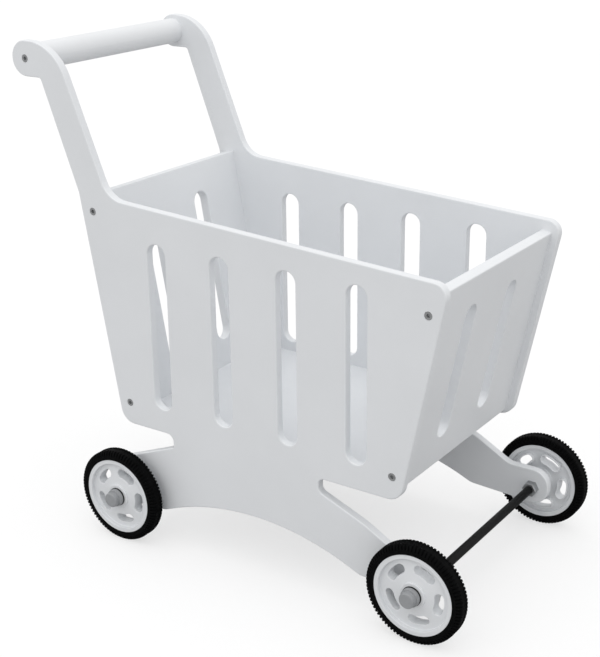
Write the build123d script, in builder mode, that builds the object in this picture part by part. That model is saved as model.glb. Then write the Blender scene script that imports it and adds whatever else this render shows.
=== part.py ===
from build123d import *
from math import cos, radians, sin, tan
import os

# A child's push-along shopping cart: two profiled side boards, two leaning end boards and
# a floor board make the basket, a round bar is the handle, and four rubber-tyred wheels
# turn on two fixed steel axles.
#
# Millimetres. +X is the way the cart is pushed, +Y is the pusher's left and +Z is up.
# z = 0 is the ground and the origin lies under the middle of the whole cart.

# ---------------------------------------------------------------- basket sizes
inner_width = 220.0             # between the side boards, so also the handle bar's length
side_thickness = 9.0            # side boards
end_thickness = 11.0            # front and rear boards
floor_thickness = 9.0
bottom_length = 331.8           # side board's straight lower edge, corner to corner
side_bottom_z = 125.7           # height of that edge above the ground
rim_rear_z = 365.2              # height of the rim where it meets the rear edge
rim_fall_angle = 3.4            # the rim falls towards the front
rear_lean_angle = 9.8           # rear edge, from the vertical
front_lean_angle = 11.7         # front edge, from the vertical
end_board_bottom_z = 131.0      # lower edge of the outer faces of the end boards
front_edge_margin = 7.7         # side board's front edge to the front board's outer face
rear_edge_margin = 8.8          # side board's rear edge to the rear board's outer face
front_board_below_rim = 11.3    # front board's outer top edge, under the rim's front end
rear_board_below_rim = 1.9      # rear board's outer top edge, under the rim's rear end
edge_round = 1.2                # eased edges of the painted boards

# ---------------------------------------------------------------- handle
handle_z = 492.5
handle_diameter = 27.0
lobe_radius = 17.7              # rounded end of the arm round the handle
arm_rear_angle = 20.5           # rear edge of the arm, from the vertical
arm_front_angle = 21.8          # front edge of the arm, from the vertical
arm_rim_width = 37.9            # arm's width along the rim
lobe_to_arm = 18.7              # handle's centre to the arm's rear edge, at the lobe's underside
crown_radius = 50.0             # top of the arm
arm_rim_radius = 28.0           # inside corner of arm and rim
arm_kink_radius = 12.0          # outside corner where the arm leaves the rear edge
lobe_corner_radius = 3.5        # inside corner under the lobe

# ---------------------------------------------------------------- legs
front_axle_ahead = 28.0         # front axle, ahead of the lower edge's front corner
rear_axle_ahead = 6.6           # rear axle, ahead of the lower edge's rear corner
foot_below_axle = 18.5
foot_above_axle = 20.6
foot_reach = 18.0               # end of a foot beyond its axle
front_notch_depth = 88.9        # notch under the basket, from the front corner
rear_notch_depth = 65.8         # notch under the basket, from the rear corner
notch_height = 14.0
front_bend_behind = 66.5        # bend in the front leg's top edge, behind the front axle
front_bend_above = 42.0         # and above it
front_neck_behind = 27.5        # where that edge levels out over the front foot
front_bend_radius = 100.0
front_neck_radius = 22.0
rear_leg_slope = 21.8           # rear leg's top edge, below the horizontal
arch_front_behind = 71.5        # arch's front end, behind the front axle
arch_rear_ahead = 43.7          # arch's rear end, ahead of the rear axle
arch_below_axle = 14.0          # its ends, below the axles
arch_slope = 23.6               # its flanks, from the horizontal
arch_end_radius = 18.0
arch_round_share = 0.95         # share of each flank that the arch's curve takes
corner_radius = 16.5            # lower corners of the basket
front_top_radius = 13.0
rear_notch_radius = 8.0
rear_notch_low_radius = 2.0

# ---------------------------------------------------------------- slots
slot_width = 22.0
side_slot_count = 4
side_slot_rear_margin = 24.3    # first slot, from the foot of the rear board
side_slot_front_margin = 17.2   # last slot, from the foot of the front board
side_slot_above_floor = 11.3
side_slot_below_rim = 14.9      # below the rim's front end
end_slot_spacing = 82.0         # between the middles of an end board's two slots
rear_slot_above_bottom = 36.5   # along the board, from its lower edge
front_slot_above_bottom = 31.7
end_slot_below_top = 31.7       # along the board, from its upper edge

# ---------------------------------------------------------------- fastenings
screw_head_diameter = 7.6
screw_head_height = 2.8
screw_diameter = 5.0
screw_length = 38.0             # under the head
pilot_spare = 1.0               # pilot hole beyond the screw's tip
socket_across_flats = 3.5
socket_depth = 2.0
screw_head_clearance = 0.2      # all round and below the board's face
screw_body_clearance = 0.1      # radial, in the side board
pilot_clearance = 0.05          # radial, in the end boards and the handle
low_screw_z = 149.2
rear_high_screw_z = 347.6
front_high_screw_z = 311.1
dowel_diameter = 6.0
dowel_in_side = 5.5
dowel_in_floor = 14.5
dowel_clearance = 0.05          # radial, and at each end
dowel_spacing = 200.0

# ---------------------------------------------------------------- running gear
wheel_diameter = 100.0
wheel_gap = 8.9                 # side board's outer face to the hub
hub_width = 15.2
tyre_height = 9.5               # tyre's radial height over the hub's rim
hub_rim_wall = 4.5
hub_web_rim_recess = 4.4        # web's outer face at the rim, behind the rim's
hub_web_boss_recess = 1.6       # and at the boss: the web is a shallow cone
hub_web_inner_recess = 4.0      # web's flat inner face, inside the rim's
hub_boss_radius = 13.0
hub_fillet = 1.5
tyre_width = 17.0
tyre_crown_width = 12.4
tyre_shoulder = 4.0             # radial height of the sloping shoulder
tyre_edge_round = 1.2
tyre_fit = 0.05                 # radial gap under the tyre
window_count = 5                # curved windows in the hub
window_edge_round = 0.7
window_rim_margin = 5.4         # between the windows and the rim's inner side
window_width = 9.0
window_sweep = 29.0             # degrees between the middles of its rounded ends
axle_diameter = 9.0
axle_hole_clearance = 0.05      # radial, in the side boards, nuts, spacers and caps
bush_diameter = 12.4
bush_fit = 0.05                 # radial gap between bush and hub
bush_running_clearance = 0.10   # radial gap between bush and axle
wheel_side_play = 0.3           # each side of the wheel
spacer_diameter = 15.5
washer_diameter = 19.4
washer_thickness = 1.2
cap_base_diameter = 18.4
cap_base_height = 4.2
cap_face_diameter = 15.6
cap_height = 9.8
cap_edge_round = 1.4
cap_wall = 2.5                  # over the axle's end
nut_across_flats = 14.0
nut_height = 7.5
nut_chamfer = 0.8

# Turn of each hub's first window about its axle, from +X towards +Z.
hub_phases = {
    "front_right": -6.0,
    "front_left": -8.0,
    "rear_right": -5.0,
    "rear_left": -7.0,
}

# ---------------------------------------------------------------- places worked out from the sizes
half_inner = inner_width / 2
half_outer = half_inner + side_thickness
wheel_radius = wheel_diameter / 2
axle_radius = axle_diameter / 2
axle_z = wheel_radius
axle_hole_radius = axle_radius + axle_hole_clearance
wheel_middle_y = half_outer + wheel_gap + hub_width / 2
floor_top_z = end_board_bottom_z + floor_thickness

rear_slope = tan(radians(rear_lean_angle))
front_slope = tan(radians(front_lean_angle))
rim_slope = tan(radians(rim_fall_angle))
arm_rear_slope = tan(radians(arm_rear_angle))
arm_front_slope = tan(radians(arm_front_angle))

lobe_under_z = handle_z - lobe_radius
edge_reach = rear_slope * (rim_rear_z - side_bottom_z)
arm_reach = arm_rear_slope * (lobe_under_z - rim_rear_z)
reach_back = edge_reach + arm_reach + lobe_to_arm + lobe_radius
reach_front = bottom_length + front_axle_ahead + wheel_radius

rear_corner_x = (reach_back - reach_front) / 2
front_corner_x = rear_corner_x + bottom_length
rear_top_x = rear_corner_x - edge_reach
handle_x = rear_top_x - arm_reach - lobe_to_arm
front_axle_x = front_corner_x + front_axle_ahead
rear_axle_x = rear_corner_x + rear_axle_ahead


def rear_edge_x(z):
    """Side board's rear edge at a height."""
    return rear_corner_x - rear_slope * (z - side_bottom_z)


def front_edge_x(z):
    """Side board's front edge at a height."""
    return front_corner_x + front_slope * (z - side_bottom_z)


def rim_z(x):
    """Height of the falling rim."""
    return rim_rear_z - rim_slope * (x - rear_top_x)


rim_front_z = rim_z(front_corner_x - front_slope * side_bottom_z) / (1 + rim_slope * front_slope)
rim_front_x = front_edge_x(rim_front_z)
arm_front_z = rim_z(rear_top_x + arm_rim_width)

# ---------------------------------------------------------------- side boards
foot_bottom_z = axle_z - foot_below_axle
foot_top_z = axle_z + foot_above_axle
front_notch_x = front_corner_x - front_notch_depth
rear_notch_x = rear_corner_x + rear_notch_depth
notch_low_z = side_bottom_z - notch_height
front_notch_radius = 0.45 * notch_height
rear_foot_x = rear_axle_x - foot_reach
rear_foot_top_z = notch_low_z - tan(radians(rear_leg_slope)) * (rear_notch_x - rear_foot_x)
foot_radius = min(foot_reach, foot_below_axle)
lobe_fillet = 0.995 * lobe_radius

arch_front_x = front_axle_x - arch_front_behind
arch_rear_x = rear_axle_x + arch_rear_ahead
arch_end_z = axle_z - arch_below_axle
arch_half = (arch_front_x - arch_rear_x) / 2
arch_flank = arch_half / cos(radians(arch_slope))
arch_apex = (arch_rear_x + arch_half, arch_end_z + arch_half * tan(radians(arch_slope)))
arch_radius = arch_round_share * arch_flank / tan(radians(arch_slope))

crown_x = rear_top_x + arm_rim_width - arm_front_slope * (handle_z + lobe_radius - arm_front_z)

# Corners of the outline with the radius that rounds each one, clockwise from the lobe.
outline = [
    (handle_x - lobe_radius, lobe_under_z, lobe_fillet),
    (handle_x - lobe_radius, handle_z + lobe_radius, lobe_fillet),
    (crown_x, handle_z + lobe_radius, crown_radius),
    (rear_top_x + arm_rim_width, arm_front_z, arm_rim_radius),
    (rim_front_x, rim_front_z, front_top_radius),
    (front_corner_x, side_bottom_z, corner_radius),
    (front_notch_x, side_bottom_z, front_notch_radius),
    (front_notch_x, notch_low_z, front_notch_radius),
    (front_axle_x - front_bend_behind, axle_z + front_bend_above, front_bend_radius),
    (front_axle_x - front_neck_behind, foot_top_z, front_neck_radius),
    (front_axle_x + foot_reach, foot_top_z, foot_radius),
    (front_axle_x + foot_reach, foot_bottom_z, foot_radius),
    (arch_front_x, arch_end_z, arch_end_radius),
    (*arch_apex, arch_radius),
    (arch_rear_x, arch_end_z, arch_end_radius),
    (rear_foot_x, foot_bottom_z, foot_radius),
    (rear_foot_x, rear_foot_top_z, foot_radius),
    (rear_notch_x, notch_low_z, rear_notch_low_radius),
    (rear_notch_x, side_bottom_z, rear_notch_radius),
    (rear_corner_x, side_bottom_z, corner_radius),
    (rear_top_x, rim_rear_z, arm_kink_radius),
    (handle_x + lobe_to_arm, lobe_under_z, lobe_corner_radius),
]

# The end boards' middle planes, measured along x from the side boards' edges.
rear_middle = (rear_edge_margin + end_thickness / 2) / cos(radians(rear_lean_angle))
front_middle = (front_edge_margin + end_thickness / 2) / cos(radians(front_lean_angle))
rear_inner = (rear_edge_margin + end_thickness) / cos(radians(rear_lean_angle))
front_inner = (front_edge_margin + end_thickness) / cos(radians(front_lean_angle))

handle_screw_places = [(handle_x, handle_z)]
rear_screw_places = [(rear_edge_x(z) + rear_middle, z) for z in (low_screw_z, rear_high_screw_z)]
front_screw_places = [(front_edge_x(z) - front_middle, z) for z in (low_screw_z, front_high_screw_z)]
screw_places = handle_screw_places + rear_screw_places + front_screw_places

side_slot_first = rear_edge_x(side_bottom_z) + rear_inner + side_slot_rear_margin + slot_width / 2
side_slot_last = front_edge_x(side_bottom_z) - front_inner - side_slot_front_margin - slot_width / 2
side_slot_pitch = (side_slot_last - side_slot_first) / (side_slot_count - 1)
side_slot_low_z = floor_top_z + side_slot_above_floor
side_slot_high_z = rim_front_z - side_slot_below_rim
side_slot_middle = ((side_slot_first + side_slot_last) / 2, (side_slot_low_z + side_slot_high_z) / 2)

dowel_z = end_board_bottom_z + floor_thickness / 2
basket_middle_x = (rear_corner_x + front_corner_x) / 2
dowel_places = [(basket_middle_x + step * dowel_spacing / 2, dowel_z) for step in (-1, 1)]
dowel_hole_radius = dowel_diameter / 2 + dowel_clearance

outer_face = Plane.XZ.offset(half_outer)
inner_face = Plane.XZ.offset(half_inner)
middle_face = Plane.XZ

with BuildPart() as side_board_right:
    with BuildSketch(inner_face):
        with BuildLine():
            corners = [(x, z) for x, z, _ in outline]
            FilletPolyline(*corners, radius=[radius for _, _, radius in outline], close=True)
        make_face()
        with Locations(side_slot_middle):
            with GridLocations(side_slot_pitch, 0, side_slot_count, 1):
                SlotOverall(
                    side_slot_high_z - side_slot_low_z, slot_width, rotation=90, mode=Mode.SUBTRACT
                )
    extrude(amount=side_thickness)
    rims = side_board_right.edges().filter_by(lambda edge: edge.bounding_box().size.Y < 0.01)
    fillet(rims, radius=edge_round)
    with Locations(outer_face):
        with Locations(*screw_places):
            CounterBoreHole(
                radius=screw_diameter / 2 + screw_body_clearance,
                counter_bore_radius=screw_head_diameter / 2 + screw_head_clearance,
                counter_bore_depth=screw_head_height + screw_head_clearance,
                depth=side_thickness,
            )
        with Locations((front_axle_x, axle_z), (rear_axle_x, axle_z)):
            Hole(radius=axle_hole_radius, depth=side_thickness)
    with BuildSketch(inner_face):
        with Locations(*dowel_places):
            Circle(dowel_hole_radius)
    extrude(amount=dowel_in_side + dowel_clearance, mode=Mode.SUBTRACT)

with BuildPart() as side_board_left:
    mirror(side_board_right.part, about=Plane.XZ)

# ---------------------------------------------------------------- end boards
# Each board's plane lies in its middle. Local x runs across the cart, local y up along the
# board and local z out of the basket.


def end_plane(outward, lean_angle, middle_x_at):
    """Middle plane of a leaning end board whose outer face starts at the lower edge."""
    lean = radians(lean_angle)
    foot_z = end_board_bottom_z + sin(lean) * end_thickness / 2
    return Plane(
        origin=(middle_x_at(foot_z), 0, foot_z),
        x_dir=(0, outward, 0),
        z_dir=(outward * cos(lean), 0, -sin(lean)),
    )


def board_length(lean_angle, outer_top_z):
    """Length up a leaning board whose outer face reaches a height."""
    return (outer_top_z - end_board_bottom_z) / cos(radians(lean_angle))


pilot_radius = screw_diameter / 2 + pilot_clearance
pilot_depth = screw_length + screw_head_height + screw_head_clearance - side_thickness + pilot_spare
inward_sides = ((inner_face, -1), (Plane.XZ.offset(-half_inner), 1))


def make_end_board(plane, length, slot_above_bottom, screw_places_here):
    """A leaning board with two slots along it and pilot holes in its two ends."""
    slot_length = length - slot_above_bottom - end_slot_below_top
    with BuildPart() as board:
        with BuildSketch(plane):
            with Locations((0, length / 2)):
                Rectangle(inner_width, length)
            with Locations((0, slot_above_bottom + slot_length / 2)):
                with GridLocations(end_slot_spacing, 0, 2, 1):
                    SlotOverall(slot_length, slot_width, rotation=90, mode=Mode.SUBTRACT)
        extrude(amount=end_thickness / 2, both=True)
        layers = board.faces().sort_by(Axis(plane.origin, plane.z_dir))
        face_edges = layers[0].edges() + layers[-1].edges()
        free_edges = [edge for edge in face_edges if abs(edge.center().Y) < half_inner - 1]
        fillet(free_edges, radius=edge_round)
        for face, inward in inward_sides:
            with BuildSketch(face):
                with Locations(*screw_places_here):
                    Circle(pilot_radius)
            extrude(amount=inward * pilot_depth, mode=Mode.SUBTRACT)
    return board.part


rear_board = make_end_board(
    end_plane(-1, rear_lean_angle, lambda z: rear_edge_x(z) + rear_middle),
    board_length(rear_lean_angle, rim_rear_z - rear_board_below_rim),
    rear_slot_above_bottom,
    rear_screw_places,
)
front_board = make_end_board(
    end_plane(1, front_lean_angle, lambda z: front_edge_x(z) - front_middle),
    board_length(front_lean_angle, rim_front_z - front_board_below_rim),
    front_slot_above_bottom,
    front_screw_places,
)

# ---------------------------------------------------------------- floor board and its dowels
with BuildPart() as floor_board:
    with BuildSketch(middle_face):
        with BuildLine():
            Polyline(
                (rear_edge_x(end_board_bottom_z) + rear_inner, end_board_bottom_z),
                (rear_edge_x(floor_top_z) + rear_inner, floor_top_z),
                (front_edge_x(floor_top_z) - front_inner, floor_top_z),
                (front_edge_x(end_board_bottom_z) - front_inner, end_board_bottom_z),
                close=True,
            )
        make_face()
    extrude(amount=half_inner, both=True)
    for face, inward in inward_sides:
        with BuildSketch(face):
            with Locations(*dowel_places):
                Circle(dowel_hole_radius)
        extrude(amount=inward * (dowel_in_floor + dowel_clearance), mode=Mode.SUBTRACT)

with BuildPart() as floor_dowels:
    with BuildSketch(inner_face.offset(dowel_in_side)):
        with Locations(*dowel_places):
            Circle(dowel_diameter / 2)
    extrude(amount=-(dowel_in_side + dowel_in_floor))
    mirror(about=Plane.XZ)

# ---------------------------------------------------------------- handle bar
with BuildPart() as handle_bar:
    with BuildSketch(middle_face):
        with Locations(*handle_screw_places):
            Circle(handle_diameter / 2)
    extrude(amount=half_inner, both=True)
    for face, inward in inward_sides:
        with BuildSketch(face):
            with Locations(*handle_screw_places):
                Circle(pilot_radius)
        extrude(amount=inward * pilot_depth, mode=Mode.SUBTRACT)

# ---------------------------------------------------------------- screws


def make_screws(places):
    """Socket screws through both side boards, with their heads in the counterbores."""
    head_top = outer_face.offset(-screw_head_clearance)
    with BuildPart() as screws:
        with BuildSketch(head_top):
            with Locations(*places):
                Circle(screw_head_diameter / 2)
        extrude(amount=-screw_head_height)
        with BuildSketch(head_top.offset(-screw_head_height)):
            with Locations(*places):
                Circle(screw_diameter / 2)
        extrude(amount=-screw_length)
        with BuildSketch(head_top):
            with Locations(*places):
                RegularPolygon(socket_across_flats / 2, 6, major_radius=False)
        extrude(amount=-socket_depth, mode=Mode.SUBTRACT)
        mirror(about=Plane.XZ)
    return screws.part


# ---------------------------------------------------------------- axles and what holds them
hub_half = hub_width / 2
hub_outer_y = wheel_middle_y + hub_half
spacer_end_y = wheel_middle_y - hub_half - wheel_side_play
washer_y = hub_outer_y + wheel_side_play
cap_base_y = washer_y + washer_thickness
cap_top_y = cap_base_y + cap_height
cap_hole_end_y = cap_top_y - cap_wall
axle_half_length = cap_hole_end_y - axle_hole_clearance


def axis_plane(axle_x):
    """Plane of an axle, local x along the radius and local y outwards to the right."""
    return Plane(origin=(axle_x, 0, axle_z), x_dir=(1, 0, 0), z_dir=(0, 0, -1))


def make_axle(axle_x):
    """Round rod through both side boards, from cap to cap."""
    with BuildPart() as axle:
        with BuildSketch(middle_face):
            with Locations((axle_x, axle_z)):
                Circle(axle_radius)
        extrude(amount=axle_half_length, both=True)
    return axle.part


def make_nuts(axle_x):
    """Hexagon nuts on the axle against the inner faces of the side boards."""
    with BuildPart() as nuts:
        with BuildSketch(inner_face):
            with Locations((axle_x, axle_z)):
                RegularPolygon(nut_across_flats / 2, 6, major_radius=False)
        extrude(amount=-nut_height)
        chamfer(nuts.faces().sort_by(Axis.Y)[-1].edges(), length=nut_chamfer)
        with Locations(inner_face):
            with Locations((axle_x, axle_z)):
                Hole(radius=axle_hole_radius, depth=nut_height)
        mirror(about=Plane.XZ)
    return nuts.part


def make_spacers(axle_x):
    """Tubes that hold the wheels off the side boards."""
    with BuildPart() as spacers:
        with BuildSketch(outer_face):
            with Locations((axle_x, axle_z)):
                Circle(spacer_diameter / 2)
                Circle(axle_hole_radius, mode=Mode.SUBTRACT)
        extrude(amount=spacer_end_y - half_outer)
        mirror(about=Plane.XZ)
    return spacers.part


def make_washers(axle_x):
    """Flat washers on the axle between the hubs and the caps."""
    with BuildPart() as washers:
        with BuildSketch(outer_face.offset(washer_y - half_outer)):
            with Locations((axle_x, axle_z)):
                Circle(washer_diameter / 2)
                Circle(axle_hole_radius, mode=Mode.SUBTRACT)
        extrude(amount=washer_thickness)
        mirror(about=Plane.XZ)
    return washers.part


def turned_section(profile, plane):
    """Face of a turned piece from its (radius, offset, corner radius) outline."""
    with BuildSketch(plane) as section:
        with BuildLine():
            corners = [(radius, offset) for radius, offset, _ in profile]
            FilletPolyline(*corners, radius=[corner for _, _, corner in profile], close=True)
        make_face()
    return section.sketch


def make_caps(axle_x):
    """Flanged caps pushed over the axle's ends."""
    base_radius = cap_base_diameter / 2
    face_radius = cap_face_diameter / 2
    flange_y = cap_base_y + cap_base_height
    profile = [
        (axle_hole_radius, cap_base_y, 0),
        (base_radius, cap_base_y, 0),
        (base_radius, flange_y, cap_edge_round / 2),
        (face_radius, flange_y, 0),
        (face_radius, cap_top_y, cap_edge_round),
        (0, cap_top_y, 0),
        (0, cap_hole_end_y, 0),
        (axle_hole_radius, cap_hole_end_y, 0),
    ]
    plane = axis_plane(axle_x)
    section = turned_section(profile, plane)
    with BuildPart() as caps:
        revolve(section, axis=Axis(plane.origin, plane.y_dir))
        mirror(about=Plane.XZ)
    return caps.part


# ---------------------------------------------------------------- wheels
hub_rim_radius = wheel_radius - tyre_height
rim_inner_radius = hub_rim_radius - hub_rim_wall
web_rim_offset = hub_half - hub_web_rim_recess
web_boss_offset = hub_half - hub_web_boss_recess
web_inner_offset = hub_web_inner_recess - hub_half
hub_bore_radius = bush_diameter / 2 + bush_fit
tyre_inner_radius = hub_rim_radius + tyre_fit
tyre_half = tyre_width / 2
crown_half = tyre_crown_width / 2

hub_profile = [
    (hub_bore_radius, -hub_half, 0),
    (hub_boss_radius, -hub_half, hub_fillet / 2),
    (hub_boss_radius, web_inner_offset, hub_fillet),
    (rim_inner_radius, web_inner_offset, hub_fillet),
    (rim_inner_radius, -hub_half, hub_fillet / 2),
    (hub_rim_radius, -hub_half, 0),
    (hub_rim_radius, hub_half, 0),
    (rim_inner_radius, hub_half, hub_fillet / 2),
    (rim_inner_radius, web_rim_offset, hub_fillet / 2),
    (hub_boss_radius, web_boss_offset, 0),
    (hub_boss_radius, hub_half, hub_web_boss_recess / 2),
    (hub_bore_radius, hub_half, 0),
]
tyre_profile = [
    (tyre_inner_radius, -tyre_half, tyre_edge_round),
    (wheel_radius - tyre_shoulder, -tyre_half, tyre_edge_round),
    (wheel_radius, -crown_half, tyre_edge_round),
    (wheel_radius, crown_half, tyre_edge_round),
    (wheel_radius - tyre_shoulder, tyre_half, tyre_edge_round),
    (tyre_inner_radius, tyre_half, tyre_edge_round),
]
bush_profile = [
    (axle_radius + bush_running_clearance, -hub_half, 0),
    (bush_diameter / 2, -hub_half, 0),
    (bush_diameter / 2, hub_half, 0),
    (axle_radius + bush_running_clearance, hub_half, 0),
]
window_ring_radius = rim_inner_radius - window_rim_margin - window_width / 2
window_arc = CenterArc((0, 0), window_ring_radius, -window_sweep / 2, window_sweep)


def wheel_plane(axle_x, side):
    """Plane through a wheel's axis, local x along the radius and local y outwards."""
    return Plane(
        origin=(axle_x, side * wheel_middle_y, axle_z), x_dir=(1, 0, 0), z_dir=(0, 0, side)
    )


def window_edges(hub, edges_before):
    """The edges that the windows have left on the web's two faces."""
    new_edges = hub.edges() - edges_before
    return [edge for edge in new_edges if edge.bounding_box().size.Y < hub_web_rim_recess]


def make_hub(axle_x, side, phase):
    """Flanged disc hub with curved windows, its first window turned by a phase."""
    plane = wheel_plane(axle_x, side)
    section = turned_section(hub_profile, plane)
    with BuildPart() as hub:
        revolve(section, axis=Axis(plane.origin, plane.y_dir))
        with BuildSketch(Plane(origin=plane.origin, x_dir=(1, 0, 0), z_dir=(0, -1, 0))):
            with PolarLocations(0, window_count, start_angle=phase):
                SlotArc(window_arc, window_width)
        solid_edges = hub.edges()
        extrude(amount=hub_half, both=True, mode=Mode.SUBTRACT)
        fillet(window_edges(hub, solid_edges), radius=window_edge_round)
    return hub.part


def make_ring(profile, axle_x, side):
    """Plain turned ring of a wheel."""
    plane = wheel_plane(axle_x, side)
    section = turned_section(profile, plane)
    with BuildPart() as ring:
        revolve(section, axis=Axis(plane.origin, plane.y_dir))
    return ring.part


# ---------------------------------------------------------------- files
nodes = {
    "side_board_right": side_board_right.part,
    "side_board_left": side_board_left.part,
    "rear_board": rear_board,
    "front_board": front_board,
    "floor_board": floor_board.part,
    "floor_dowels": floor_dowels.part,
    "handle_bar": handle_bar.part,
    "handle_screws": make_screws(handle_screw_places),
    "rear_board_screws": make_screws(rear_screw_places),
    "front_board_screws": make_screws(front_screw_places),
}
for end, axle_x in (("front", front_axle_x), ("rear", rear_axle_x)):
    nodes[f"{end}_axle"] = make_axle(axle_x)
    nodes[f"{end}_axle_nuts"] = make_nuts(axle_x)
    nodes[f"{end}_axle_spacers"] = make_spacers(axle_x)
    nodes[f"{end}_axle_washers"] = make_washers(axle_x)
    nodes[f"{end}_axle_caps"] = make_caps(axle_x)
    for hand, side in (("right", -1), ("left", 1)):
        wheel = f"{end}_{hand}"
        nodes[f"{wheel}_hub"] = make_hub(axle_x, side, hub_phases[wheel])
        nodes[f"{wheel}_tyre"] = make_ring(tyre_profile, axle_x, side)
        nodes[f"{wheel}_bush"] = make_ring(bush_profile, axle_x, side)

os.makedirs("parts", exist_ok=True)
for name, part in nodes.items():
    part.label = name
    export_step(part, f"parts/{name}.step")
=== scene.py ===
import math

import bpy
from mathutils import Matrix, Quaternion, Vector


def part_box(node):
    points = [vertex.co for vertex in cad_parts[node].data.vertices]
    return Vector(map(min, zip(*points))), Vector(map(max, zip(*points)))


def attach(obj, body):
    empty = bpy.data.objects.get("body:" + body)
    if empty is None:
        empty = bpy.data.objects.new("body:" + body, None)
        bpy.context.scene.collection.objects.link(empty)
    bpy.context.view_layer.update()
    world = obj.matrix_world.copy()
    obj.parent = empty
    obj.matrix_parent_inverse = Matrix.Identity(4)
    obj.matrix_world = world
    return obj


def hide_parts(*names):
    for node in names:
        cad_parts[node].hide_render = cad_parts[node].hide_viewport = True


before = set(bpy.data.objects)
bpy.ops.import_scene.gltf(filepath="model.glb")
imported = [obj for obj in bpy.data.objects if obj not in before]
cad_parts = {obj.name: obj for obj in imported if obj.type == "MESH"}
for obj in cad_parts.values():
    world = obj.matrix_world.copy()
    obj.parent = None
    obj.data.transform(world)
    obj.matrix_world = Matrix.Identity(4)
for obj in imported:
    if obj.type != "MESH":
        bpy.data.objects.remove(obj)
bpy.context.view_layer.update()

mm = 0.001

# ---------------------------------------------------------------- camera
aim = (-3.16 * mm, 0.0, 219.46 * mm)
camera_azimuth, camera_elevation, camera_roll = 34.538, 20.444, 0.739  # degrees
camera_distance = 1358.64 * mm
sensor_width = 36.0             # mm, along the image's long side
camera_lens = 72.28             # mm
clip_near, clip_far = 0.05, 100.0

# ---------------------------------------------------------------- light
white = (1.0, 1.0, 1.0, 1.0)
sky_strength = 0.90
key_strength = 0.80
key_softness = 80.0             # degrees across
key_azimuth, key_elevation = 15.0, 68.0
floor_seen_colour = (0.95, 0.95, 0.95)
floor_glow = 0.62               # share of the floor's look that no shadow reaches
floor_bounce_colour = (0.46, 0.46, 0.46)    # less light from below than a white floor sends
floor_size = 60.0

# ---------------------------------------------------------------- finishes
paint_colour = (0.790, 0.806, 0.826)
paint_thin_colour = (0.730, 0.728, 0.720)
bar_colour = (0.800, 0.812, 0.828)
hub_colour = (0.775, 0.790, 0.808)
rubber_colour = (0.0012, 0.0013, 0.0014)
black_steel_colour = (0.0030, 0.0031, 0.0033)
zinc_colour = (0.42, 0.43, 0.44)
screw_colour = (0.40, 0.408, 0.415)
cap_colour = (0.325, 0.333, 0.345)
spacer_colour = (0.20, 0.205, 0.21)
bush_colour = (0.34, 0.345, 0.35)
wood_colour = (0.52, 0.36, 0.20)
# Scale of the grain's noise along each axis: small along the grain.
grain_along_x, grain_along_y = (0.04, 1.0, 1.0), (1.0, 0.04, 1.0)
bar_grain = (1.0, 0.03, 1.0)

# ---------------------------------------------------------------- tyres
wheels = ("front_right", "front_left", "rear_right", "rear_left")
tread_pitches = 84
# Stations in one pitch, as parts of it, and how deep the groove is there, from 0 to 1.
tread_stations = ((0.0, 0.0), (0.08, 1.0), (0.42, 1.0), (0.50, 0.0), (0.75, 0.0))
groove_depth = 1.15 * mm
tread_slant = -0.05             # of a pitch, from the crown's middle to the tyre's side
tyre_sharp_angle = 34.0         # degrees between two faces that meet in a sharp edge

# ---------------------------------------------------------------- window collars
# The hubs' windows have these sizes in the part's source, which this script can't read.
# A phase is the turn of a hub's first window about its axle, from +X towards +Z, in degrees.
window_phases = {
    "front_right": -6.0,
    "front_left": -8.0,
    "rear_right": -5.0,
    "rear_left": -7.0,
}
window_count = 5
window_ring_radius = 26.1 * mm
window_sweep = 29.0             # degrees between the middles of its rounded ends
window_half_width = 4.5 * mm
collar_setback = 0.02 * mm      # of its inside behind the window's wall
collar_wall = 1.5 * mm
collar_seat = 4.9 * mm          # its hidden end, from the hub's inner plane
collar_end = 0.4 * mm           # its free end, from the hub's inner plane
collar_round = 0.4 * mm
collar_steps = 12               # along each side and round each end of a window
collar_sharp_angle = 50.0


def add_node(tree, kind, inputs=None, **settings):
    """A new node with its settings and its inputs, each a constant or another node's socket."""
    made = tree.nodes.new(kind)
    for name, value in settings.items():
        setattr(made, name, value)
    for key, value in (inputs or {}).items():
        if isinstance(value, bpy.types.NodeSocket):
            tree.links.new(value, made.inputs[key])
        else:
            made.inputs[key].default_value = value
    return made


def place(tree, stretch=(1.0, 1.0, 1.0)):
    """Object coordinates in metres, scaled along each axis."""
    at = add_node(tree, "ShaderNodeTexCoord").outputs["Object"]
    return add_node(tree, "ShaderNodeMapping", {"Vector": at, "Scale": stretch}).outputs["Vector"]


def noise(tree, vector, scale, detail=2.0, roughness=0.5):
    """Noise from 0 to 1, with that many features in a metre."""
    values = {"Vector": vector, "Scale": scale, "Detail": detail, "Roughness": roughness}
    return add_node(tree, "ShaderNodeTexNoise", values).outputs["Fac"]


def remap(tree, value, low, high, to_low=0.0, to_high=1.0):
    values = {"Value": value, "From Min": low, "From Max": high,
              "To Min": to_low, "To Max": to_high}
    return add_node(tree, "ShaderNodeMapRange", values).outputs["Result"]


def multiply(tree, a, b):
    return add_node(tree, "ShaderNodeMath", {0: a, 1: b}, operation="MULTIPLY").outputs["Value"]


def blend_colours(tree, factor, first, second):
    def full(colour):
        return colour if isinstance(colour, bpy.types.NodeSocket) else (*colour, 1.0)
    values = {0: factor, 6: full(first), 7: full(second)}
    return add_node(tree, "ShaderNodeMix", values, data_type="RGBA").outputs[2]


def bump(tree, height, depth, under=None):
    values = {"Height": height, "Distance": depth, "Strength": 1.0}
    if under is not None:
        values["Normal"] = under
    return add_node(tree, "ShaderNodeBump", values).outputs["Normal"]


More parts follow.
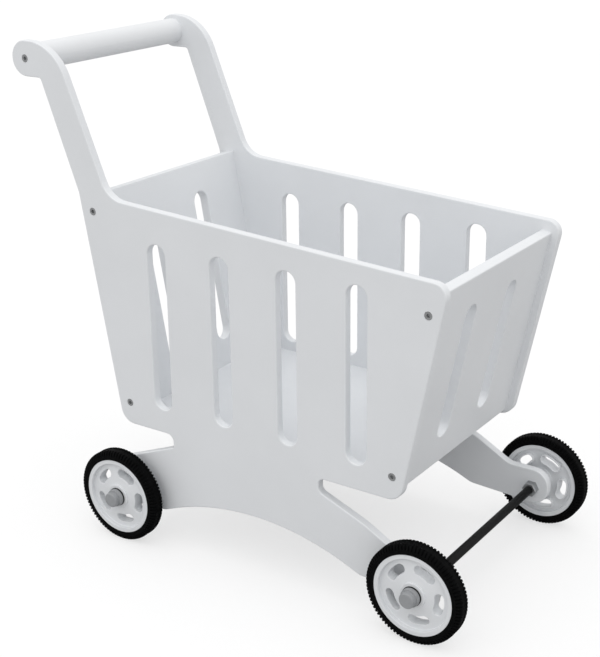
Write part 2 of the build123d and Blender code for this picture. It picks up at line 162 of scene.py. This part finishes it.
def near_edges(tree, reach):
    """1 on sharp edges, falling to 0 within that reach of them."""
    dot_on_face, dot_on_edge, bevel_samples = 0.99, 0.86, 6
    bevel = add_node(tree, "ShaderNodeBevel", {"Radius": reach}, samples=bevel_samples)
    rounded = bevel.outputs["Normal"]
    flat = add_node(tree, "ShaderNodeNewGeometry").outputs["Normal"]
    dot = add_node(tree, "ShaderNodeVectorMath", {0: rounded, 1: flat}, operation="DOT_PRODUCT")
    return remap(tree, dot.outputs["Value"], dot_on_face, dot_on_edge)


def shade(colour, factor):
    return tuple(channel * factor for channel in colour)


def new_material(name):
    material = bpy.data.materials.new(name)
    material.use_nodes = True
    tree = material.node_tree
    return material, tree, tree.nodes["Principled BSDF"]


def finish_shader(tree, shader, colour, roughness, normal, **constants):
    """Links the three varying inputs and sets the rest on the shader's own sockets."""
    for key, value in (("Base Color", colour), ("Roughness", roughness), ("Normal", normal)):
        tree.links.new(value, shader.inputs[key])
    for key, value in constants.items():
        shader.inputs[key.replace("_", " ")].default_value = value


# ---------------------------------------------------------------- materials
def make_paint(name, colour, thin_colour, grain):
    """White satin paint on sanded board: roller stipple, faint grain, thin paint on the edges."""
    cloud_shade, worn_share, worn_reach = 0.972, 0.55, 1.6 * mm
    smooth, rough = 0.36, 0.50
    wave_depth, fibre_depth, stipple_depth = 0.10 * mm, 0.018 * mm, 0.014 * mm
    material, tree, shader = new_material(name)
    at = place(tree)
    clouds = noise(tree, at, 9.0, 4.0, 0.6)
    stipple = noise(tree, at, 1100.0, 3.0, 0.6)
    waves = noise(tree, at, 70.0, 2.0)
    fibres = noise(tree, place(tree, grain), 240.0, 3.0, 0.65)
    patches = remap(tree, noise(tree, at, 160.0, 4.0, 0.7), 0.42, 0.68)
    edge = multiply(tree, near_edges(tree, worn_reach), patches)
    base = blend_colours(tree, remap(tree, clouds, 0.35, 0.65),
                         colour, shade(colour, cloud_shade))
    base = blend_colours(tree, multiply(tree, edge, worn_share), base, thin_colour)
    roughness = remap(tree, noise(tree, at, 38.0, 5.0, 0.6), 0.3, 0.7, smooth, rough)
    normal = bump(tree, waves, wave_depth)
    normal = bump(tree, fibres, fibre_depth, normal)
    normal = bump(tree, stipple, stipple_depth, normal)
    finish_shader(tree, shader, base, roughness, normal, IOR=1.47, Specular_IOR_Level=0.42)
    return material


def make_hub_plastic():
    """Injection-moulded white plastic with a fine spark-eroded texture."""
    cloud_shade = 0.975
    smooth, rough = 0.33, 0.44
    texture_depth, wave_depth = 0.010 * mm, 0.04 * mm
    material, tree, shader = new_material("hub_plastic_look")
    at = place(tree)
    clouds = remap(tree, noise(tree, at, 30.0, 3.0), 0.35, 0.65)
    base = blend_colours(tree, clouds, hub_colour, shade(hub_colour, cloud_shade))
    roughness = remap(tree, noise(tree, at, 120.0, 4.0), 0.3, 0.7, smooth, rough)
    normal = bump(tree, noise(tree, at, 1700.0, 2.0), texture_depth)
    normal = bump(tree, noise(tree, at, 90.0, 2.0), wave_depth, normal)
    finish_shader(tree, shader, base, roughness, normal, IOR=1.49)
    return material


def make_rubber():
    """Dull black rubber with slightly greyer, dusty spots."""
    dusty_shade, pore_depth = 2.6, 0.03 * mm
    smooth, rough = 0.62, 0.82
    material, tree, shader = new_material("tyre_look")
    at = place(tree)
    spots = remap(tree, noise(tree, at, 140.0, 5.0, 0.7), 0.45, 0.75)
    base = blend_colours(tree, spots, rubber_colour, shade(rubber_colour, dusty_shade))
    roughness = remap(tree, noise(tree, at, 260.0, 4.0), 0.3, 0.7, smooth, rough)
    normal = bump(tree, noise(tree, at, 900.0, 3.0, 0.6), pore_depth)
    finish_shader(tree, shader, base, roughness, normal, Specular_IOR_Level=0.07)
    return material


def make_metal(name, colour, metallic, smooth, rough, specular):
    """Steel with fine turning marks across its Y axis and slightly uneven plating."""
    plating_shade, turning_depth, turning_stretch = 0.72, 0.012 * mm, (0.05, 9.0, 0.05)
    material, tree, shader = new_material(name)
    at = place(tree)
    plating = remap(tree, noise(tree, at, 210.0, 4.0), 0.35, 0.7)
    base = blend_colours(tree, plating, colour, shade(colour, plating_shade))
    roughness = remap(tree, noise(tree, at, 420.0, 5.0), 0.3, 0.7, smooth, rough)
    turned = noise(tree, place(tree, turning_stretch), 700.0, 2.0)
    normal = bump(tree, turned, turning_depth)
    finish_shader(tree, shader, base, roughness, normal, Metallic=metallic,
                  Specular_IOR_Level=specular)
    return material


def make_plastic(name, colour, smooth, rough):
    """Moulded grey plastic with a matt texture and worn, slightly paler edges."""
    cloud_shade, worn_shade, worn_reach, texture_depth = 0.9, 1.25, 0.7 * mm, 0.012 * mm
    material, tree, shader = new_material(name)
    at = place(tree)
    patches = remap(tree, noise(tree, at, 600.0, 3.0), 0.4, 0.6)
    edge = multiply(tree, near_edges(tree, worn_reach), patches)
    clouds = remap(tree, noise(tree, at, 150.0, 4.0), 0.3, 0.7)
    base = blend_colours(tree, clouds, colour, shade(colour, cloud_shade))
    base = blend_colours(tree, edge, base, shade(colour, worn_shade))
    roughness = remap(tree, noise(tree, at, 350.0, 3.0), 0.3, 0.7, smooth, rough)
    normal = bump(tree, noise(tree, at, 1500.0, 2.0), texture_depth)
    finish_shader(tree, shader, base, roughness, normal)
    return material


def make_wood():
    """Pale hardwood for the dowels, with grain along their length."""
    fibre_stretch, fibre_shade, fibre_depth = (1.0, 0.06, 1.0), 0.66, 0.05 * mm
    smooth, rough = 0.55, 0.72
    material, tree, shader = new_material("bare_wood_look")
    fibres = noise(tree, place(tree, fibre_stretch), 1300.0, 4.0, 0.6)
    base = blend_colours(tree, remap(tree, fibres, 0.4, 0.65),
                         wood_colour, shade(wood_colour, fibre_shade))
    roughness = remap(tree, fibres, 0.3, 0.7, smooth, rough)
    finish_shader(tree, shader, base, roughness, bump(tree, fibres, fibre_depth))
    return material


def dress_nodes(names, material):
    """Gives these CAD nodes that material."""
    for name in names:
        for material_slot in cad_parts[name].material_slots:
            material_slot.material = material


def dress_frame():
    """Gives every CAD node that shows its finish, and adds the hubs' window collars."""
    lengthways = make_paint("side_paint_look", paint_colour, paint_thin_colour, grain_along_x)
    across = make_paint("board_paint_look", paint_colour, paint_thin_colour, grain_along_y)
    bar = make_paint("bar_paint_look", bar_colour, paint_thin_colour, bar_grain)
    black = make_metal("black_steel_look", black_steel_colour, 0.0, 0.34, 0.52, 0.14)
    screw = make_metal("screw_look", screw_colour, 0.7, 0.34, 0.50, 0.4)
    zinc = make_metal("zinc_look", zinc_colour, 0.9, 0.30, 0.46, 0.5)
    dress_nodes(("side_board_right", "side_board_left"), lengthways)
    dress_nodes(("rear_board", "front_board", "floor_board"), across)
    dress_nodes(("handle_bar",), bar)
    dress_nodes(("floor_dowels",), make_wood())
    dress_nodes(("front_axle", "rear_axle", "front_axle_washers", "rear_axle_washers"), black)
    dress_nodes(("handle_screws", "rear_board_screws", "front_board_screws"), screw)
    dress_nodes(("front_axle_nuts", "rear_axle_nuts"), zinc)
    dress_nodes(("front_axle_spacers", "rear_axle_spacers"),
                make_plastic("spacer_look", spacer_colour, 0.40, 0.55))
    dress_nodes(("front_axle_caps", "rear_axle_caps"),
                make_plastic("cap_look", cap_colour, 0.38, 0.52))
    dress_nodes([f"{wheel}_bush" for wheel in wheels],
                make_plastic("bush_look", bush_colour, 0.35, 0.50))
    hub_plastic = make_hub_plastic()
    dress_nodes([f"{wheel}_hub" for wheel in wheels], hub_plastic)
    make_window_collars(hub_plastic)


# ---------------------------------------------------------------- tyres
def tyre_half_profile():
    """(distance from the middle plane, radius, share of the tread's depth) from the crown down
    to the bore."""
    points = (
        (0.00, 49.20, 0.0), (2.70, 49.15, 0.0), (3.05, 49.98, 0.8), (4.00, 49.97, 1.0),
        (5.20, 49.88, 1.0), (6.00, 49.60, 1.0), (6.60, 48.95, 1.0), (7.20, 47.90, 1.0),
        (7.80, 46.70, 1.0), (8.20, 45.60, 1.0), (8.38, 44.85, 0.0), (8.44, 44.10, 0.0),
        (8.16, 43.75, 0.0), (8.16, 43.15, 0.0), (8.46, 42.80, 0.0), (8.48, 41.70, 0.0),
        (8.20, 41.00, 0.0), (7.60, 40.60, 0.0), (4.00, 40.56, 0.0), (0.00, 40.56, 0.0),
    )
    return [(offset * mm, radius * mm, share) for offset, radius, share in points]


def tyre_section(cut):
    """One ring section's points, (offset, radius, slant), with the tread cut that deep."""
    half = tyre_half_profile()
    widest = max(offset for offset, _, _ in half)
    run = []
    for index, (offset, radius, share) in enumerate(half):
        before, after = half[max(index - 1, 0)], half[min(index + 1, len(half) - 1)]
        along = Vector((after[0] - before[0], after[1] - before[1]))
        inward = Vector((along.y, -along.x)).normalized() * cut * share
        slant = tread_slant * offset / widest
        run.append((offset + inward.x, radius + inward.y, slant))
    return run + [(-offset, radius, slant) for offset, radius, slant in run[-2:0:-1]]


def tyre_mesh():
    """The tyre's closed ring about the local Y axis, with the grooves of its tread."""
    stations = tread_pitches * len(tread_stations)
    sections = [tyre_section(cut * groove_depth) for _, cut in tread_stations]
    vertices, faces = [], []
    for station in range(stations):
        pitch, step = divmod(station, len(tread_stations))
        for offset, radius, slant in sections[step]:
            angle = 2 * math.pi * (pitch + tread_stations[step][0] + slant) / tread_pitches
            vertices.append((radius * math.cos(angle), offset, radius * math.sin(angle)))
    count = len(sections[0])
    for station in range(stations):
        start, following = station * count, (station + 1) % stations * count
        for index in range(count):
            nearby = (index + 1) % count
            faces.append((start + index, start + nearby, following + nearby, following + index))
    mesh = bpy.data.meshes.new("treaded_tyre")
    mesh.from_pydata(vertices, [], faces)
    mesh.validate()
    mesh.shade_smooth()
    mesh.set_sharp_from_angle(angle=math.radians(tyre_sharp_angle))
    return mesh


def make_tyres():
    """Four tyres with treads, in place of the CAD's plain rings."""
    mesh = tyre_mesh()
    mesh.materials.append(make_rubber())
    for wheel in wheels:
        low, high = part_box(f"{wheel}_tyre")
        tyre = bpy.data.objects.new(f"{wheel}_treaded_tyre", mesh)
        bpy.context.scene.collection.objects.link(tyre)
        tyre.location = (low + high) / 2
        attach(tyre, f"{wheel}_wheel")
        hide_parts(f"{wheel}_tyre")


# ---------------------------------------------------------------- window collars
def window_outline(half_width, turn):
    """Points, (x, z), round a curved window of that half width, its middle at that angle."""
    half = math.radians(window_sweep) / 2
    points = []
    for sign in (1, -1):
        for step in range(collar_steps):
            angle = turn + sign * half * (2 * step / collar_steps - 1)
            radius = window_ring_radius + sign * half_width
            points.append((radius * math.cos(angle), radius * math.sin(angle)))
        end = turn + sign * half
        middle = (window_ring_radius * math.cos(end), window_ring_radius * math.sin(end))
        for step in range(collar_steps):
            angle = end + math.pi * step / collar_steps + (0.0 if sign == 1 else math.pi)
            points.append((middle[0] + half_width * math.cos(angle),
                           middle[1] + half_width * math.sin(angle)))
    return points


def collar_mesh(wheel, side, hub_inner):
    """Closed raised rims round a hub's windows, on its web's inner face."""
    wide, narrow = window_half_width + collar_wall, window_half_width + collar_setback
    section = ((narrow, collar_seat), (narrow, collar_end + collar_round),
               (narrow + collar_round, collar_end), (wide - collar_round, collar_end),
               (wide, collar_end + collar_round), (wide, collar_seat))
    vertices, faces = [], []
    for window in range(window_count):
        turn = math.radians(window_phases[wheel] + 360.0 * window / window_count)
        first = len(vertices)
        for half_width, depth in section:
            for x, z in window_outline(half_width, turn):
                vertices.append((x, side * (hub_inner + depth), z))
        around = (len(vertices) - first) // len(section)
        for row in range(len(section)):
            after = (row + 1) % len(section)
            for index in range(around):
                nearby = (index + 1) % around
                quad = [first + row * around + index, first + row * around + nearby,
                        first + after * around + nearby, first + after * around + index]
                faces.append(quad if side == -1 else quad[::-1])
    mesh = bpy.data.meshes.new(f"{wheel}_window_collars")
    mesh.from_pydata(vertices, [], faces)
    mesh.validate()
    mesh.shade_smooth()
    mesh.set_sharp_from_angle(angle=math.radians(collar_sharp_angle))
    return mesh


def make_window_collars(material):
    """Deepens the hubs' windows towards the cart, as deep as the photograph shows their walls."""
    for wheel in wheels:
        low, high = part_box(f"{wheel}_hub")
        side = 1 if low.y > 0 else -1
        mesh = collar_mesh(wheel, side, min(abs(low.y), abs(high.y)))
        mesh.materials.append(material)
        collars = bpy.data.objects.new(f"{wheel}_window_collars", mesh)
        bpy.context.scene.collection.objects.link(collars)
        collars.location = ((low.x + high.x) / 2, 0.0, (low.z + high.z) / 2)
        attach(collars, f"{wheel}_wheel")


# ---------------------------------------------------------------- studio
def make_floor():
    """Pale floor: near white to the camera, and darker to the object's underside."""
    half = floor_size / 2
    mesh = bpy.data.meshes.new("studio_floor")
    corners = [(-half, -half, 0.0), (half, -half, 0.0), (half, half, 0.0), (-half, half, 0.0)]
    mesh.from_pydata(corners, [], [(0, 1, 2, 3)])
    floor = bpy.data.objects.new("studio_floor", mesh)
    bpy.context.scene.collection.objects.link(floor)
    material, tree, shader = new_material("studio_floor_look")
    seen = add_node(tree, "ShaderNodeBsdfDiffuse", {"Color": (*floor_seen_colour, 1.0)})
    bounce = add_node(tree, "ShaderNodeBsdfDiffuse", {"Color": (*floor_bounce_colour, 1.0)})
    glow = add_node(tree, "ShaderNodeEmission", {"Strength": 1.0})
    shown = add_node(tree, "ShaderNodeMixShader",
                     {0: floor_glow, 1: seen.outputs["BSDF"], 2: glow.outputs["Emission"]})
    ray = add_node(tree, "ShaderNodeLightPath").outputs["Is Camera Ray"]
    both = add_node(tree, "ShaderNodeMixShader",
                    {0: ray, 1: bounce.outputs["BSDF"], 2: shown.outputs["Shader"]})
    tree.nodes.remove(shader)
    tree.links.new(both.outputs["Shader"], tree.nodes["Material Output"].inputs["Surface"])
    mesh.materials.append(material)


def direction(azimuth, elevation):
    """Unit vector from the object; azimuth turns from -Y towards +X."""
    turn, rise = math.radians(azimuth), math.radians(elevation)
    level = math.cos(rise)
    return Vector((math.sin(turn) * level, -math.cos(turn) * level, math.sin(rise)))


def make_light():
    scene = bpy.context.scene
    world = bpy.data.worlds.new("studio")
    world.use_nodes = True
    background = world.node_tree.nodes["Background"]
    background.inputs["Color"].default_value = white
    background.inputs["Strength"].default_value = sky_strength
    scene.world = world
    lamp = bpy.data.lights.new("key", "SUN")
    lamp.energy = key_strength
    lamp.angle = math.radians(key_softness)
    key = bpy.data.objects.new("key", lamp)
    key.rotation_mode = "QUATERNION"
    key.rotation_quaternion = (-direction(key_azimuth, key_elevation)).to_track_quat("-Z", "Y")
    scene.collection.objects.link(key)
    scene.view_settings.view_transform = "Standard"
    scene.view_settings.look = "None"


def make_camera():
    lens = bpy.data.cameras.new("camera")
    lens.sensor_fit, lens.sensor_width, lens.lens = "AUTO", sensor_width, camera_lens
    lens.clip_start, lens.clip_end = clip_near, clip_far
    camera = bpy.data.objects.new("camera", lens)
    back = direction(camera_azimuth, camera_elevation)
    camera.location = Vector(aim) + back * camera_distance
    camera.rotation_mode = "QUATERNION"
    roll = Quaternion((0.0, 0.0, 1.0), -math.radians(camera_roll))
    camera.rotation_quaternion = (-back).to_track_quat("-Z", "Y") @ roll
    bpy.context.scene.collection.objects.link(camera)
    bpy.context.scene.camera = camera


make_camera()
make_light()
make_floor()
dress_frame()
make_tyres()
